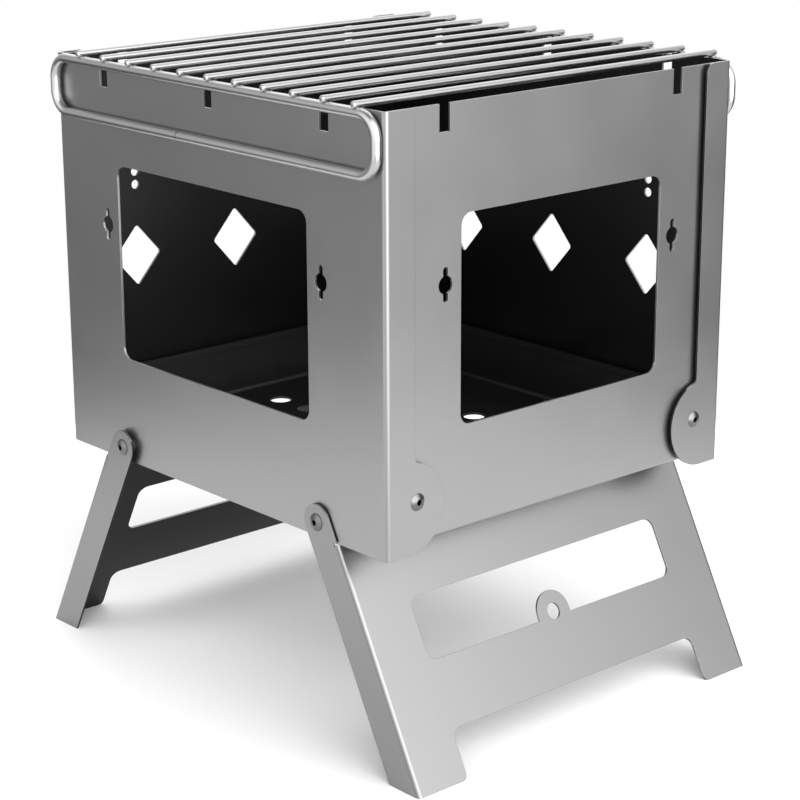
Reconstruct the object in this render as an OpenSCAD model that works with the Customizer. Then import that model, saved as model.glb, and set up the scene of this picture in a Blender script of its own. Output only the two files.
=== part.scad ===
// Folding twig stove of sheet steel.
// Four riveted walls hold a loose fire tray, a lift-off wire grate lies on the side walls,
// and two splayed leg frames turn on rivets and fold flat, one nested over the other.
// Millimetres. +Z is up, the front wall faces -Y, and the origin is on the ground under the centre.

/* [Body] */
// Width over the two side walls
body_w = 192.4; // [180:0.1:220]
// Depth over the flanges of the side walls
body_d = 213.6; // [198:0.1:240]
// Height of the side walls
body_h = 174.5; // [165:0.5:200]
// Thickness of the wall sheet
wall_t = 1; // [0.8:0.1:1.4]
// Outside radius of the bends in the wall sheet
wall_bend_r = 1.8; // [1.6:0.1:3]
// Width of the flanges that cover the edges of the front and back walls
flange_w = 14.8; // [13:0.1:20]
// Space between a flange and the wall behind it
flange_gap = 1.5; // [1:0.1:2.5]
// Radius of the rounded top corner of a flange
flange_corner_r = 4; // [2:0.5:6]
// Radius of the round lobe at the foot of a flange
lobe_r = 19; // [16:0.5:22]
// How far the lobe reaches in from the side of the body
lobe_reach = 30.1; // [27:0.1:36]
// Radius of the hollow shoulder between a flange and its lobe
shoulder_r = 2; // [1:0.5:3]
// Height of the front and back walls' lower edge above the side walls' lower edge
lip_lift = 3.2; // [1:0.1:5]
// Width of the bottom lip that carries the fire tray
lip_w = 12; // [8:1:18]
// Step from the side walls' top edge down to the front and back walls' top edge
top_step = 0.5; // [0:0.1:2]

/* [Openings in the walls] */
// Width of the front window
front_window_w = 112.6; // [90:0.1:120]
// How far the openings of the front wall stand to the right of the middle
front_cut_x = 0.9; // [-3:0.1:3]
// Width of the left window
side_window_w = 125.7; // [100:0.1:135]
// How far the left window and its keyholes stand back from the middle
side_cut_y = 1.9; // [-3:0.1:3]
// Height of the windows' lower edge above the body's lower edge
window_z = 46.4; // [40:0.1:55]
// Height of the windows
window_h = 84.6; // [60:0.1:100]
// Corner radius of the windows
window_r = 5; // [2:0.5:10]
// Distance from a window's side to the centre of a keyhole
keyhole_margin = 8.1; // [6:0.1:10]
// Height of the keyholes above the body's lower edge
keyhole_z = 104.3; // [95:0.1:115]
// Diameter of a keyhole's round middle
keyhole_d = 7.3; // [5:0.1:9]
// Width of a keyhole's slots
keyhole_slot_w = 2.6; // [2:0.1:4]
// Full height of a keyhole
keyhole_h = 14; // [11:0.1:18]
// Width of the notches in the top edges
notch_w = 5.4; // [4:0.1:8]
// Depth of the notches below the side walls' top edge
notch_h = 11.3; // [8:0.1:16]
// Distance of the front and back notches from the middle of the openings
front_notch_x = 65.1; // [55:0.1:72]
// Distance of the outer side notches from the middle
side_notch_y = 72.1; // [55:0.1:80]
// Half width of a diamond
diamond_half_w = 12.1; // [8:0.1:16]
// Half height of a diamond
diamond_half_h = 13.4; // [8:0.1:18]
// Corner radius of a diamond
diamond_r = 1.5; // [0.5:0.1:3]
// Distance from one diamond to the next in the back wall
back_diamond_pitch = 55.4; // [45:0.1:58]
// Distance from one diamond to the next in the right wall
side_diamond_pitch = 58.4; // [45:0.1:62]
// Height of the diamonds' centres above the body's lower edge
diamond_z = 80; // [60:0.5:95]
// How far the diamonds stand off the middle, towards the near end of the wall
diamond_shift = 4.8; // [0:0.1:8]
// Diameter of the pairs of small holes above the outer diamonds
peep_d = 4; // [3:0.1:5]
// Distance between the two holes of a pair
peep_pitch = 5.9; // [5.5:0.1:10]
// Height of the lower holes above the body's lower edge
peep_z = 112.3; // [102:0.1:125]

/* [Rivets] */
// Radius of the rivets' shanks
rivet_r = 2; // [1.5:0.1:2.5]
// Running clearance round a shank
rivet_fit = 0.05; // [0.02:0.01:0.1]
// Radius of the rivets' heads
rivet_head_r = 3.6; // [3:0.1:4.5]
// Height of the rivets' heads
rivet_head_h = 1.2; // [0.8:0.1:1.5]
// Radius of the hole down the middle of a rivet
rivet_bore_r = 1.2; // [0.8:0.1:1.3]
// Radius of the clenched tail
rivet_tail_r = 3; // [2.6:0.1:3.6]
// Height of the clenched tail
rivet_tail_h = 1.5; // [1:0.1:2]
// Radius of the spacer washers
washer_r = 4; // [3.5:0.1:5]
// Distance of the wall rivets from the side of the body
wall_rivet_x = 15.9; // [14:0.1:20]
// Height of the wall rivets above the body's lower edge
wall_rivet_z = 21.3; // [16:0.1:24]

/* [Legs] */
// Height of the body's lower edge above the ground
leg_drop = 92.2; // [80:0.1:97]
// Splay of the legs from upright
leg_splay = 27.6; // [20:0.1:30]
// Thickness of the leg sheet
leg_t = 1; // [0.8:0.1:1.4]
// Outside radius of the bends in the leg sheet
leg_bend_r = 2; // [1.6:0.1:3]
// Height of the leg pivots above the body's lower edge
pivot_z = 6.5; // [5:0.1:9]
// Distance from the front face of the body back to the front pivots
pivot_set_back = 40.5; // [36:0.1:46]
// Radius of the round ears at the pivots
ear_r = 7.5; // [6:0.1:9]
// Space between a side wall and the inner leg frame
leg_side_gap = 0.6; // [0.5:0.1:2]
// Clearance of a folded leg frame under the body, and between nested frames
fold_gap = 0.3; // [0.2:0.05:0.6]
// Side play of a leg between washer and rivet head
leg_play = 0.15; // [0.1:0.05:0.3]
// Width of a leg's stile beside the slot
stile_w = 26.5; // [20:0.5:36]
// Distance along the leg from the pivot to the slot
slot_start = 40; // [35:0.1:48]
// Length of the slot along the leg
slot_l = 26.4; // [20:0.1:32]
// Width of the cross bar below the slot
bar_w = 28.3; // [20:0.1:32]
// Corner radius of the slot and of the gap between the feet
leg_cut_r = 4.5; // [2:0.5:8]
// Corner radius of the feet
foot_r = 3; // [1:0.5:5]
// Radius of the eyelet tab on the front cross bar
eyelet_r = 9; // [7:0.1:11]
// Radius of the eyelet's hole
eyelet_hole_r = 3.5; // [2.5:0.1:4.5]
// Height of the eyelet's centre above the cross bar
eyelet_rise = 2.2; // [1:0.1:4]

/* [Fire tray] */
// Height of the tray's walls
tray_h = 26; // [15:1:35]
// Thickness of the tray sheet
tray_t = 1; // [0.8:0.1:1.4]
// Outside radius of the bends in the tray
tray_bend_r = 3; // [2:0.5:5]
// Height of the hem along the tray's rim
tray_hem_h = 3; // [2:0.5:6]
// Clearance round the tray, and over the lips that carry it
tray_gap = 0.3; // [0.2:0.05:1]
// Diameter of the air holes in the tray floor
air_hole_d = 10; // [6:0.5:14]
// Distance between air holes across the stove
air_pitch_x = 24.5; // [18:0.5:30]
// Distance between air holes from front to back
air_pitch_y = 20; // [16:0.5:28]
// Least distance from the centre of an air hole to the tray's side walls
air_margin_x = 30; // [10:1:40]
// Least distance from the centre of an air hole to the tray's front and back walls, before the shift
air_margin_y = 14; // [12:1:20]
// How far the air holes are shifted towards the front
air_shift_y = 2.4; // [0:0.1:4]

/* [Grate] */
// Number of grate rods
rod_count = 11; // [9:1:13]
// Diameter of a grate rod
rod_d = 2.8; // [2.5:0.1:4.5]
// Distance from the body's front face to the first rod
rod_margin = 12.9; // [9:0.1:20]
// Distance from the body's back face to the last rod
rod_back_margin = 22.2; // [12:0.1:30]
// Radius of the rounded ends of a rod
rod_end_r = 0.8; // [0.3:0.1:1.2]
// Clearance between the rods and the side walls' top edges
rod_seat_gap = 0.3; // [0.2:0.05:0.6]
// Diameter of the loop wire
loop_d = 4.2; // [3.5:0.1:5.5]
// Distance between the middles of a loop's upper and lower bars
loop_h = 23; // [18:0.5:30]
// Bend radius of a loop at the middle of the wire
loop_bend_r = 9; // [6:0.5:9]
// Clearance between a loop and its side wall
loop_gap = 0.4; // [0.3:0.05:1]
// Depth that the welds sink a rod into a loop
weld_sink = 0.4; // [0.2:0.1:0.6]
// Width of the seam where the ends of a loop's wire meet
loop_seam_w = 0.4; // [0.2:0.1:0.8]
// Distance of that seam from the middle of the loop
loop_seam_y = 16; // [5:1:70]

/* [Hidden] */
$fn = 48;

// Cutters reach this far past the faces that they cut
over = 2;
side_x = body_w / 2;
face_y = body_d / 2;
top_z = leg_drop + body_h;

// Front and back walls, measured from the middle of the stove
panel_out_y = face_y - wall_t - flange_gap;
panel_in_y = panel_out_y - wall_t;
panel_edge_gap = wall_t / 2;
panel_half_w = side_x - wall_t - panel_edge_gap;
panel_z = leg_drop + lip_lift;
panel_top_z = top_z - top_step;

rivet_hole_r = rivet_r + rivet_fit;
wall_rivet_half_x = side_x - wall_rivet_x;

// The rear leg frame is the outer of the two, one sheet and one clearance larger all round
nest_step = leg_t + fold_gap;
FRONT = 0;
REAR = 1;
function frame_in_x(fit) = side_x + leg_side_gap + fit * nest_step;
function frame_out_x(fit) = frame_in_x(fit) + leg_t;
function plate_in(fit) = pivot_z + fold_gap + fit * nest_step;
function plate_out(fit) = plate_in(fit) + leg_t;
// Distance along the leg at which its outer face meets the ground, and the body's underside
function foot_end(fit) = (leg_drop + pivot_z + plate_out(fit) * sin(leg_splay)) / cos(leg_splay);
function plate_start(fit) = (pivot_z + fold_gap + plate_out(fit) * sin(leg_splay)) / cos(leg_splay);
// The rear pivots stand so that both pairs of feet reach equally far
function pivot_y(fit) =
    face_y - pivot_set_back - (plate_out(fit) - plate_out(FRONT)) / cos(leg_splay);
pivot_height = leg_drop + pivot_z;
bend_relief = 1.5 * leg_t;
// A bend runs this far into the sheets that it joins
bend_lap = wall_t / 5;

tray_half_w = side_x - wall_t - rivet_tail_h - tray_gap;
tray_half_d = panel_in_y - rivet_tail_h - tray_gap;
tray_z = panel_z + wall_t + tray_gap;

rod_z = top_z + rod_seat_gap + rod_d / 2;
rod_pitch = (body_d - rod_margin - rod_back_margin) / (rod_count - 1);
loop_x = side_x + loop_gap + loop_d / 2;
loop_top_z = rod_z - rod_d / 2 + weld_sink - loop_d / 2;
loop_half_l = face_y - loop_d / 2;
rod_l = 2 * (loop_x + loop_d / 2);

// A quarter tube of bent sheet along Z, about the origin, in the quarter of +X and +Y. It laps into both sheets
module bend(l, r, t) {
    linear_extrude(l) {
        intersection() {
            difference() {
                circle(r);
                circle(r - t);
            }
            square(r);
        }
        translate([r - t, -bend_lap]) square([t, bend_lap]);
        translate([-bend_lap, r - t]) square([bend_lap, t]);
    }
}

// The same quarter tube along X, in the quarter of -Y and -Z
module low_bend(l, r, t) {
    mirror([0, 1, 0]) rotate([0, 90, 0]) bend(l, r, t);
}

module rounded_rect(w, h, r) {
    square([w - 2 * r, h], center = true);
    square([w, h - 2 * r], center = true);
    for (x = [-1, 1], y = [-1, 1]) translate([x * (w / 2 - r), y * (h / 2 - r)]) circle(r);
}

// A keyhole: a round hole with a slot above it and one below it
module keyhole() {
    circle(keyhole_d / 2);
    square([keyhole_slot_w, keyhole_h - keyhole_slot_w], center = true);
    for (y = [-1, 1]) translate([0, y * (keyhole_h - keyhole_slot_w) / 2]) circle(keyhole_slot_w / 2);
}

// A diamond with rounded corners: circles at the corners of a smaller diamond, and what lies between
module diamond() {
    a = diamond_half_w - diamond_r;
    b = diamond_half_h - diamond_r;
    nx = diamond_r * b / norm([a, b]);
    ny = diamond_r * a / norm([a, b]);
    polygon([
        [a + nx, ny], [nx, b + ny], [-nx, b + ny], [-a - nx, ny],
        [-a - nx, -ny], [-nx, -b - ny], [nx, -b - ny], [a + nx, -ny],
    ]);
    for (s = [-1, 1]) {
        translate([s * a, 0]) circle(diamond_r);
        translate([0, s * b]) circle(diamond_r);
    }
}

// Openings of a wall with a window, drawn with the wall's lower edge at the origin
module window_cuts(w) {
    translate([0, window_z + window_h / 2]) rounded_rect(w, window_h, window_r);
    for (x = [-1, 1]) translate([x * (w / 2 + keyhole_margin), keyhole_z]) keyhole();
}

// Openings of a wall with diamonds, drawn the same way
module diamond_cuts(pitch) {
    translate([-diamond_shift, 0]) {
        for (x = [-1:1]) translate([x * pitch, diamond_z]) diamond();
        for (x = [-1, 1], z = [peep_z, peep_z + peep_pitch]) translate([x * pitch, z]) circle(peep_d / 2);
    }
}

module notch(x) {
    translate([x - notch_w / 2, body_h - notch_h]) square([notch_w, notch_h + over]);
}

// Outline of a flange, from the side of the body inwards, with the lower edge at the origin
module flange_outline() {
    lobe_x = lobe_reach - lobe_r;
    fillet_x = flange_w + shoulder_r;
    fillet_z = lobe_r + sqrt(pow(lobe_r + shoulder_r, 2) - pow(fillet_x - lobe_x, 2));
    touch = lobe_r / (lobe_r + shoulder_r);
    translate([wall_bend_r, 0]) square([lobe_x - wall_bend_r, lobe_r]);
    translate([wall_bend_r, lobe_r]) square([flange_w - flange_corner_r - wall_bend_r, body_h - lobe_r]);
    translate([wall_bend_r, lobe_r]) square([flange_w - wall_bend_r, body_h - flange_corner_r - lobe_r]);
    translate([flange_w - flange_corner_r, body_h - flange_corner_r]) circle(flange_corner_r);
    intersection() {
        translate([lobe_x, lobe_r]) circle(lobe_r);
        translate([wall_bend_r, 0]) square([lobe_reach, 2 * lobe_r]);
    }
    difference() {
        polygon([
            [flange_w, fillet_z],
            [flange_w, lobe_r],
            [lobe_x + touch * (fillet_x - lobe_x), lobe_r + touch * (fillet_z - lobe_r)],
        ]);
        translate([fillet_x, fillet_z]) circle(shoulder_r);
    }
}

// One flange with its bend and rivet hole, at the front edge of the right-hand wall
module front_flange() {
    translate([side_x, -face_y + wall_t, leg_drop]) rotate([90, 0, 0]) linear_extrude(wall_t)
        mirror([1, 0]) difference() {
            flange_outline();
            translate([wall_rivet_x, wall_rivet_z]) circle(rivet_hole_r);
        }
    translate([side_x - wall_bend_r, -face_y + wall_bend_r, leg_drop])
        mirror([0, 1, 0]) bend(body_h, wall_bend_r, wall_t);
}

// A side wall on the right-hand side: its web is pierced by the outlines handed to it
module side_wall() {
    web_l = body_d - 2 * wall_bend_r;
    difference() {
        translate([side_x - wall_t, -web_l / 2, leg_drop]) cube([wall_t, web_l, body_h]);
        translate([side_x - wall_t - over, 0, leg_drop]) rotate([90, 0, 90])
            linear_extrude(wall_t + 2 * over) {
                children();
                for (y = [-1:1]) notch(y * side_notch_y);
                translate([-pivot_y(FRONT), pivot_z]) circle(rivet_hole_r);
                translate([pivot_y(REAR), pivot_z]) circle(rivet_hole_r);
            }
    }
    front_flange();
    mirror([0, 1, 0]) front_flange();
}

module left_wall() {
    color([0.55, 0.55, 0.55]) mirror([1, 0, 0]) side_wall()
        translate([side_cut_y, 0]) window_cuts(side_window_w);
}

module right_wall() {
    color([0.5, 0.5, 0.5]) side_wall() diamond_cuts(side_diamond_pitch);
}

// A front or back wall at the front: a plate with a lip bent inwards along its lower edge
module panel() {
    plate_z = panel_z + wall_bend_r;
    difference() {
        translate([-panel_half_w, -panel_out_y, plate_z])
            cube([2 * panel_half_w, wall_t, panel_top_z - plate_z]);
        translate([0, -panel_in_y + over, leg_drop]) rotate([90, 0, 0])
            linear_extrude(wall_t + 2 * over) {
                children();
                for (x = [-1, 1]) {
                    notch(front_cut_x + x * front_notch_x);
                    translate([x * wall_rivet_half_x, wall_rivet_z]) circle(rivet_hole_r);
                }
            }
    }
    translate([-panel_half_w, -panel_out_y + wall_bend_r, plate_z])
        low_bend(2 * panel_half_w, wall_bend_r, wall_t);
    translate([-panel_half_w, -panel_out_y + wall_bend_r, panel_z])
        cube([2 * panel_half_w, lip_w - wall_bend_r, wall_t]);
}

module front_wall() {
    color([0.65, 0.65, 0.65]) panel() translate([front_cut_x, 0]) window_cuts(front_window_w);
}

module back_wall() {
    color([0.6, 0.6, 0.6]) mirror([0, 1, 0]) panel() diamond_cuts(back_diamond_pitch);
}

// A hollow rivet along +Z: the head stands on z = 0 and the tail hangs below the grip
module rivet(grip) {
    dome_r = (pow(rivet_head_r, 2) + pow(rivet_head_h, 2)) / (2 * rivet_head_h);
    rotate_extrude() difference() {
        union() {
            intersection() {
                translate([0, rivet_head_h - dome_r]) circle(dome_r);
                square([rivet_head_r, rivet_head_h]);
            }
            translate([0, -grip - rivet_tail_h]) square([rivet_r, grip + rivet_tail_h]);
            translate([0, -grip - rivet_tail_h]) square([rivet_tail_r, rivet_tail_h]);
        }
        translate([0, -grip - rivet_tail_h - over])
            square([rivet_bore_r, grip + rivet_tail_h + rivet_head_h + 2 * over]);
    }
}

module washer(t) {
    difference() {
        cylinder(h = t, r = washer_r);
        translate([0, 0, -over]) cylinder(h = t + 2 * over, r = rivet_hole_r);
    }
}

// Puts its child at the four wall rivets, with +Z pointing out of the front or back wall
module at_wall_rivets() {
    for (x = [-1, 1], turn = [0, 180]) rotate([0, 0, turn])
        translate([x * wall_rivet_half_x, -face_y, leg_drop + wall_rivet_z])
            rotate([90, 0, 0]) children();
}

module wall_rivets() {
    color("gainsboro") at_wall_rivets() rivet(2 * wall_t + flange_gap);
}

module wall_washers() {
    color("silver") at_wall_rivets() translate([0, 0, -wall_t - flange_gap]) washer(flange_gap);
}

// Puts its child at a leg frame's two pivots, with +Z pointing out of the side wall
module at_pivots(fit) {
    y = (fit == FRONT ? -1 : 1) * pivot_y(fit);
    for (side = [-1, 1]) translate([side * side_x, y, pivot_height])
        rotate([0, side * 90, 0]) children();
}

module leg_rivets(fit) {
    ear_out = frame_out_x(fit) - side_x + leg_play;
    at_pivots(fit) translate([0, 0, ear_out]) rivet(ear_out + wall_t);
}

module front_leg_rivets() {
    color("gainsboro") leg_rivets(FRONT);
}

module rear_leg_rivets() {
    color("gainsboro") leg_rivets(REAR);
}

module leg_washers(fit) {
    at_pivots(fit) washer(frame_in_x(fit) - side_x - leg_play);
}

module front_leg_washers() {
    color("silver") leg_washers(FRONT);
}

module rear_leg_washers() {
    color("silver") leg_washers(REAR);
}

// Outline of a leg frame's plate, pivot line at the origin, leg pointing down
module plate_outline(fit) {
    flat_half_w = frame_out_x(fit) - leg_bend_r;
    opening_w = 2 * (frame_out_x(fit) - stile_w);
    bar_end = slot_start + slot_l + bar_w;
    end = foot_end(fit);
    difference() {
        translate([-flat_half_w, -end]) square([2 * flat_half_w, end - plate_start(fit)]);
        translate([0, -slot_start - slot_l / 2]) rounded_rect(opening_w, slot_l, leg_cut_r);
        difference() {
            translate([-opening_w / 2 - foot_r, -end - over])
                square([opening_w + 2 * foot_r, end - bar_end + over]);
            for (side = [0, 1]) mirror([side, 0]) translate([opening_w / 2, 0]) {
                foot_inner_edge(bar_end, end);
                gap_corner(bar_end);
            }
        }
    }
}

// The part of a foot beside the gap between the feet: its lower corner is rounded
module foot_inner_edge(bar_end, end) {
    w = 2 * foot_r;
    translate([0, -end + foot_r]) square([w, end - foot_r - bar_end + over]);
    translate([foot_r, -end]) square([w, foot_r + over]);
    translate([foot_r, -end + foot_r]) circle(foot_r);
}

// The hollow corner between a foot and the cross bar
module gap_corner(bar_end) {
    translate([-leg_cut_r, -bar_end - leg_cut_r]) difference() {
        square([leg_cut_r + over, leg_cut_r + over]);
        circle(leg_cut_r);
    }
}

// The eyelet tab on the front cross bar, drawn about the middle of its hole
module eyelet_outline() {
    circle(eyelet_r);
    translate([-eyelet_r, -eyelet_rise - eyelet_r]) square([2 * eyelet_r, eyelet_rise + eyelet_r]);
}

// Side outline of a leg's flange: a round ear at the pivot on a strip down to the foot
module leg_flange_outline(fit) {
    strip_in = plate_out(fit) - leg_bend_r;
    end = foot_end(fit) + over;
    difference() {
        union() {
            circle(ear_r);
            translate([-ear_r, -plate_start(fit) + bend_relief])
                square([2 * ear_r, plate_start(fit) - bend_relief]);
            translate([-strip_in, -end]) square([strip_in + ear_r, end]);
        }
        circle(rivet_hole_r);
    }
}

// A leg frame with its pivot line on the X axis, its plate facing -Y and the legs pointing down
module straight_leg_frame(fit) {
    out_x = frame_out_x(fit);
    bend_l = foot_end(fit) + over - plate_start(fit);
    eyelet_y = eyelet_rise - slot_start - slot_l;
    translate([0, -plate_in(fit), 0]) rotate([90, 0, 0]) linear_extrude(leg_t) difference() {
        union() {
            plate_outline(fit);
            if (fit == FRONT) translate([0, eyelet_y]) eyelet_outline();
        }
        if (fit == FRONT) translate([0, eyelet_y]) circle(eyelet_hole_r);
    }
    for (side = [0, 1]) mirror([side, 0, 0]) {
        translate([out_x - leg_t, 0, 0]) rotate([90, 0, 90]) linear_extrude(leg_t) leg_flange_outline(fit);
        translate([out_x - leg_bend_r, -plate_out(fit) + leg_bend_r, -plate_start(fit) - bend_l])
            mirror([0, 1, 0]) bend(bend_l, leg_bend_r, leg_t);
    }
}

// A leg frame at the front, splayed and cut level with the ground
module leg_frame(fit) {
    reach = 4 * body_d;
    difference() {
        translate([0, -pivot_y(fit), pivot_height]) rotate([-leg_splay, 0, 0]) straight_leg_frame(fit);
        translate([-reach / 2, -reach / 2, -reach]) cube(reach);
    }
}

module front_leg_frame() {
    color([0.72, 0.72, 0.72]) leg_frame(FRONT);
}

module rear_leg_frame() {
    color([0.5, 0.5, 0.5]) mirror([0, 1, 0]) leg_frame(REAR);
}

// One edge of the tray at the front: the bend, the wall above it and the hem folded in along the rim
module tray_edge(half_l, half_d) {
    l = 2 * (half_l - tray_bend_r);
    translate([-l / 2, -half_d + tray_bend_r, tray_z + tray_bend_r]) low_bend(l, tray_bend_r, tray_t);
    translate([-l / 2, -half_d, tray_z + tray_bend_r]) cube([l, tray_t, tray_h - tray_bend_r]);
    translate([-l / 2, -half_d, tray_z + tray_h - tray_hem_h]) cube([l, 2 * tray_t, tray_hem_h]);
}

module fire_tray() {
    floor_w = 2 * (tray_half_w - tray_bend_r);
    floor_d = 2 * (tray_half_d - tray_bend_r);
    columns = floor((tray_half_w - air_margin_x) / air_pitch_x);
    rows = floor((tray_half_d - air_margin_y) / air_pitch_y);
    color([0.2, 0.2, 0.2]) {
        translate([0, 0, tray_z]) linear_extrude(tray_t) difference() {
            square([floor_w, floor_d], center = true);
            for (i = [-columns:columns], j = [-rows:rows])
                translate([i * air_pitch_x, j * air_pitch_y - air_shift_y]) circle(air_hole_d / 2);
        }
        for (turn = [0, 180]) {
            rotate([0, 0, turn]) tray_edge(tray_half_w, tray_half_d);
            rotate([0, 0, turn + 90]) tray_edge(tray_half_d, tray_half_w);
        }
    }
}

// A closed wire loop that hangs beside the right-hand wall
module wire_loop() {
    r = loop_d / 2;
    low_z = loop_top_z - loop_h;
    straight_y = loop_half_l - loop_bend_r;
    difference() {
        translate([loop_x, 0, 0]) {
            for (z = [loop_top_z, low_z]) translate([0, -straight_y, z]) rotate([-90, 0, 0])
                cylinder(h = 2 * straight_y, r = r);
            for (y = [-1, 1]) {
                translate([0, y * loop_half_l, low_z + loop_bend_r])
                    cylinder(h = loop_h - 2 * loop_bend_r, r = r);
                translate([0, y * straight_y, loop_top_z - loop_bend_r]) loop_corner(y, 1);
                translate([0, y * straight_y, low_z + loop_bend_r]) loop_corner(y, -1);
            }
        }
        translate([loop_x - loop_d, loop_seam_y, low_z - loop_d])
            cube([2 * loop_d, loop_seam_w, 2 * loop_d]);
    }
}

// A quarter bend of the loop wire in the plane of the loop, towards y and z of the given signs
module loop_corner(y, z) {
    mirror([0, y < 0 ? 1 : 0, 0]) mirror([0, 0, z < 0 ? 1 : 0]) rotate([90, 0, 90])
        rotate_extrude(angle = 90) translate([loop_bend_r, 0]) circle(loop_d / 2);
}

module left_loop() {
    color("lightgray") mirror([1, 0, 0]) wire_loop();
}

module right_loop() {
    color("lightgray") wire_loop();
}

// Half of a rod's outline, about the middle of its length
module rod_outline() {
    intersection() {
        rounded_rect(rod_d, rod_l, rod_end_r);
        translate([0, -rod_l / 2]) square([rod_d / 2, rod_l]);
    }
}

module grate_rod(i) {
    y = -face_y + rod_margin + (i - 1) * rod_pitch;
    color("lightgray") translate([0, y, rod_z]) rotate([0, 90, 0]) rotate_extrude() rod_outline();
}

left_wall();
right_wall();
front_wall();
back_wall();
wall_rivets();
wall_washers();
fire_tray();
front_leg_frame();
front_leg_rivets();
front_leg_washers();
rear_leg_frame();
rear_leg_rivets();
rear_leg_washers();
left_loop();
right_loop();
for (i = [1:rod_count]) grate_rod(i);
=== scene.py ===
import math

import bpy
from mathutils import Matrix, Vector

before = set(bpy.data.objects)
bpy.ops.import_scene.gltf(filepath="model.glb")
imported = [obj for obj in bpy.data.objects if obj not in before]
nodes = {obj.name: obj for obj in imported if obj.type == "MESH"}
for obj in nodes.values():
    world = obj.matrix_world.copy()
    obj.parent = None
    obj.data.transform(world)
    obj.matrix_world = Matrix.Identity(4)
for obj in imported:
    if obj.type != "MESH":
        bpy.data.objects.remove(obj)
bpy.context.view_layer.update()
scene = bpy.context.scene

# Camera of the photograph, in metres, degrees and millimetres of lens, in the part's frame
CAMERA_PLACE = (-0.63295, -0.71763, 0.40282)
CAMERA_YAW = 41.673
CAMERA_PITCH = 16.761
CAMERA_ROLL = -0.179
CAMERA_LENS = 101.606
CAMERA_SENSOR = 36.0

# Linear greys of the steel; the inner and tray greys are painted shade
WALL_GREY = 0.31
LEG_GREY = 0.25
# Painted shade: the grey of the leg frames' inner faces, dark for the shade between and under them
LEG_PAINTED_INNER_SHADE_GREY = 0.035
WIRE_GREY = 0.42
RIVET_GREY = 0.15
# Painted shade: the grey of the walls' inner faces, dark for the shade inside the stove
WALL_PAINTED_INNER_SHADE_GREY = 0.036
# Painted shade: the whole tray is dark for the shade inside the stove
TRAY_PAINTED_SHADE_GREY = 0.05

# Roughness of the steel
WALL_ROUGHNESS = 0.34
LEG_ROUGHNESS = 0.32
TRAY_ROUGHNESS = 0.45
WIRE_ROUGHNESS = 0.3
RIVET_ROUGHNESS = 0.3
WASHER_ROUGHNESS = 0.4

# How far the roughness varies over the grain of the steel, and the grain's noise
GRAIN = 0.06
GRAIN_SCALE = 35.0
GRAIN_DETAIL = 3.0

# Radius of the softened edges of cut sheet, in metres
EDGE_RADIUS = 0.0002
EDGE_SAMPLES = 4

# Painted shade on bends: brightness of the middle of a bend beside that of its flat sheet, lower to damp
# the bend's highlight
WALL_BEND_PAINTED_SHADE = 0.7
LEG_BEND_PAINTED_SHADE = 0.45
# A half times a half, times this, is one in the middle of a bend
BEND_PEAK = 4.0

# A face is an inner one, and gets painted shade, if the cosine between it and the way inwards is more than
# this
INNER_EDGE = 0.5

# Way from each wall into the stove
WALL_INSIDES = {
    "left_wall": (1, 0, 0),
    "right_wall": (-1, 0, 0),
    "front_wall": (0, 1, 0),
    "back_wall": (0, -1, 0),
}

# Lean of the leg frames, in radians
LEG_SPLAY = math.radians(27.6)

# A round floor under the stove, in metres
FLOOR_MIDDLE = (-0.08, -0.1, 0)
FLOOR_RADIUS = 0.5
FLOOR_SIDES = 96
FLOOR_GREY = 0.82
FLOOR_ROUGHNESS = 0.9
FLOOR_SHINE = 0.1

# Soft lights of the room: the way to each, and its brightness
SOFT_BOXES = {
    "front": ((-0.1, -0.95, 0.3), 5.5),
    "left": ((-0.966, 0.0, 0.259), 2.1),
    "back": ((0.0, 0.91, 0.42), 0.6),
    "right": ((0.71, 0.41, 0.57), 1.8),
}
# A soft light fades out at the angle with this cosine
BOX_EDGE = 0.47


def grey(value):
    return (value, value, value, 1.0)


def feed(tree, socket, value):
    """Links an output to the socket, or sets the socket to a plain value."""
    if isinstance(value, bpy.types.NodeSocket):
        tree.links.new(value, socket)
    else:
        socket.default_value = value


def math_node(tree, operation, *values, clamp=False):
    node = tree.nodes.new("ShaderNodeMath")
    node.operation = operation
    node.use_clamp = clamp
    for socket, value in zip(node.inputs, values):
        feed(tree, socket, value)
    return node.outputs[0]


def dot_node(tree, vector, way):
    """The cosine between a unit vector output and a fixed way."""
    node = tree.nodes.new("ShaderNodeVectorMath")
    node.operation = "DOT_PRODUCT"
    feed(tree, node.inputs[0], vector)
    feed(tree, node.inputs[1], way)
    return node.outputs["Value"]


def mix_node(tree, factor, a, b):
    """A colour that goes from a to b with the factor."""
    node = tree.nodes.new("ShaderNodeMix")
    node.data_type = "RGBA"
    feed(tree, node.inputs["Factor"], factor)
    feed(tree, node.inputs["A"], a)
    feed(tree, node.inputs["B"], b)
    return node.outputs["Result"]


def new_material(name):
    """A node material with a plain Principled shader, its tree and that shader."""
    material = bpy.data.materials.new(name)
    material.use_nodes = True
    tree = material.node_tree
    tree.nodes.clear()
    output = tree.nodes.new("ShaderNodeOutputMaterial")
    shader = tree.nodes.new("ShaderNodeBsdfPrincipled")
    feed(tree, output.inputs["Surface"], shader.outputs["BSDF"])
    return material, tree, shader


def grain_roughness(tree, place, roughness):
    """A roughness that varies a little with a fine noise."""
    noise = tree.nodes.new("ShaderNodeTexNoise")
    feed(tree, noise.inputs["Scale"], GRAIN_SCALE)
    feed(tree, noise.inputs["Detail"], GRAIN_DETAIL)
    feed(tree, noise.inputs["Vector"], place.outputs["Object"])
    return math_node(tree, "MULTIPLY_ADD", noise.outputs["Fac"], GRAIN, roughness - GRAIN / 2)


def soft_edges(tree):
    """Normals that round the edges of cut sheet."""
    bevel = tree.nodes.new("ShaderNodeBevel")
    bevel.samples = EDGE_SAMPLES
    feed(tree, bevel.inputs["Radius"], EDGE_RADIUS)
    return bevel.outputs["Normal"]


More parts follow.
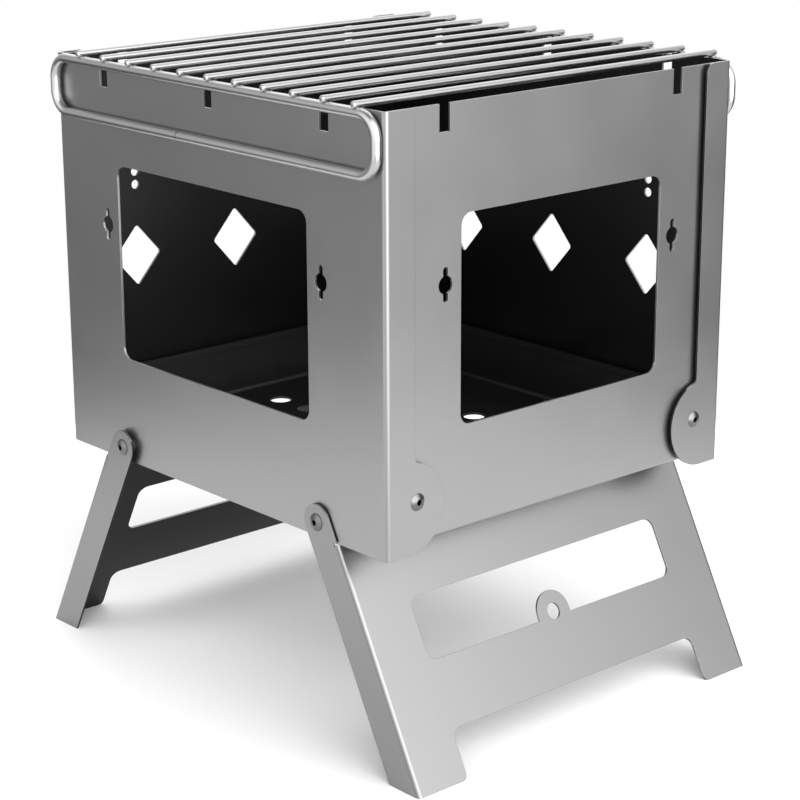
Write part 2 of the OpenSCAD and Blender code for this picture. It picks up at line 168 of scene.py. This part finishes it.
def sheet_colour(tree, place, value, bend, inner, inner_value):
    """The colour of a bent sheet: darker in the middle of each bend, a painted shade that damps the bend's
    highlight, and dark on the faces that point along inner, a painted shade for the shade inside.
    """
    normal = place.outputs["Normal"]
    split = tree.nodes.new("ShaderNodeSeparateXYZ")
    feed(tree, split.inputs[0], normal)
    # A flat face has 0 or 1 here, and the middle of a bend has a half
    sideways = math_node(tree, "MULTIPLY", split.outputs["X"], split.outputs["X"])
    other = math_node(tree, "SUBTRACT", 1.0, sideways)
    bent = math_node(tree, "MULTIPLY", math_node(tree, "MULTIPLY", sideways, other), BEND_PEAK, clamp=True)
    # Painted shade: the middle of a bend is darkened to damp its highlight
    outer = mix_node(tree, bent, grey(value), grey(value * bend))
    # Painted shade: faces that point inwards take the dark inner grey
    inside = math_node(tree, "GREATER_THAN", dot_node(tree, normal, inner), INNER_EDGE)
    return mix_node(tree, inside, outer, grey(inner_value))


def steel(name, value, roughness, edges=True, sheet=None):
    """Satin steel. For a bent sheet, sheet holds its bends' brightness, which is painted shade, its way
    inwards, and the grey of the painted shade on its inner faces.
    """
    material, tree, shader = new_material(name)
    place = tree.nodes.new("ShaderNodeTexCoord")
    colour = sheet_colour(tree, place, value, *sheet) if sheet else grey(value)
    feed(tree, shader.inputs["Base Color"], colour)
    feed(tree, shader.inputs["Metallic"], 1.0)
    feed(tree, shader.inputs["Roughness"], grain_roughness(tree, place, roughness))
    if edges:
        feed(tree, shader.inputs["Normal"], soft_edges(tree))
    return material


def paint(material, names):
    for name in names:
        mesh = nodes[name].data
        mesh.materials.clear()
        mesh.materials.append(material)


def paint_walls():
    for name, inner in WALL_INSIDES.items():
        # Painted shade on the walls' bends and inner faces
        sheet = (WALL_BEND_PAINTED_SHADE, inner, WALL_PAINTED_INNER_SHADE_GREY)
        paint(steel(name + "_steel", WALL_GREY, WALL_ROUGHNESS, sheet=sheet), [name])


def paint_legs():
    """Both leg frames have painted shade: dark on the sides that face each other and the ground, and
    darker in their bends.
    """
    for name, inwards in (("front_leg", 1), ("rear_leg", -1)):
        inner = (0, inwards * math.cos(LEG_SPLAY), -math.sin(LEG_SPLAY))
        sheet = (LEG_BEND_PAINTED_SHADE, inner, LEG_PAINTED_INNER_SHADE_GREY)
        paint(steel(name + "_steel", LEG_GREY, LEG_ROUGHNESS, sheet=sheet), [name + "_frame"])


def paint_loose_pieces():
    # Painted shade: the tray is painted dark for the shade inside the stove
    paint(steel("tray_steel", TRAY_PAINTED_SHADE_GREY, TRAY_ROUGHNESS), ["fire_tray"])
    wires = [name for name in nodes if name.endswith("_loop") or name.startswith("grate_rod_")]
    paint(steel("wire_steel", WIRE_GREY, WIRE_ROUGHNESS, edges=False), wires)


def paint_fasteners():
    rivets = [name for name in nodes if name.endswith("_rivets")]
    paint(steel("rivet_steel", RIVET_GREY, RIVET_ROUGHNESS), rivets)
    washers = [name for name in nodes if name.endswith("_washers")]
    paint(steel("washer_steel", LEG_GREY, WASHER_ROUGHNESS), washers)


def add_floor():
    """A round pale floor under the stove, for its shadow."""
    bpy.ops.mesh.primitive_circle_add(
        vertices=FLOOR_SIDES, radius=FLOOR_RADIUS, fill_type="NGON", location=FLOOR_MIDDLE
    )
    floor = bpy.context.object
    floor.name = "floor"
    material, tree, shader = new_material("floor_paint")
    feed(tree, shader.inputs["Base Color"], grey(FLOOR_GREY))
    feed(tree, shader.inputs["Roughness"], FLOOR_ROUGHNESS)
    feed(tree, shader.inputs["Specular IOR Level"], FLOOR_SHINE)
    floor.data.materials.append(material)


def soft_box(tree, place, way, strength):
    """The brightness of one broad soft light, which is strongest along the way to it."""
    ramp = tree.nodes.new("ShaderNodeMapRange")
    ramp.interpolation_type = "SMOOTHSTEP"
    feed(tree, ramp.inputs["Value"], dot_node(tree, place.outputs["Generated"], Vector(way).normalized()))
    feed(tree, ramp.inputs["From Min"], BOX_EDGE)
    feed(tree, ramp.inputs["From Max"], 1.0)
    feed(tree, ramp.inputs["To Min"], 0.0)
    feed(tree, ramp.inputs["To Max"], strength)
    return ramp.outputs["Result"]


def background(tree, strength):
    node = tree.nodes.new("ShaderNodeBackground")
    feed(tree, node.inputs["Color"], grey(1.0))
    feed(tree, node.inputs["Strength"], strength)
    return node.outputs["Background"]


def add_world():
    """White for the camera, and for everything else a dark room with a few broad soft lights."""
    world = bpy.data.worlds.new("studio")
    scene.world = world
    world.use_nodes = True
    tree = world.node_tree
    tree.nodes.clear()
    output = tree.nodes.new("ShaderNodeOutputWorld")
    path = tree.nodes.new("ShaderNodeLightPath")
    place = tree.nodes.new("ShaderNodeTexCoord")
    light = 0.0
    for way, strength in SOFT_BOXES.values():
        light = math_node(tree, "ADD", light, soft_box(tree, place, way, strength))
    pick = tree.nodes.new("ShaderNodeMixShader")
    feed(tree, pick.inputs["Fac"], path.outputs["Is Camera Ray"])
    feed(tree, pick.inputs[1], background(tree, light))
    feed(tree, pick.inputs[2], background(tree, 1.0))
    feed(tree, output.inputs["Surface"], pick.outputs["Shader"])


def add_camera():
    camera = bpy.data.cameras.new("camera")
    camera.sensor_width = CAMERA_SENSOR
    camera.lens = CAMERA_LENS
    eye = bpy.data.objects.new("camera", camera)
    eye.location = CAMERA_PLACE
    turn = Matrix.Rotation(math.radians(-CAMERA_YAW), 4, "Z")
    tilt = Matrix.Rotation(math.radians(90 - CAMERA_PITCH), 4, "X")
    roll = Matrix.Rotation(math.radians(CAMERA_ROLL), 4, "Z")
    eye.rotation_euler = (turn @ tilt @ roll).to_euler()
    scene.collection.objects.link(eye)
    scene.camera = eye


paint_walls()
paint_legs()
paint_loose_pieces()
paint_fasteners()
add_floor()
add_world()
add_camera()
scene.view_settings.view_transform = "Standard"
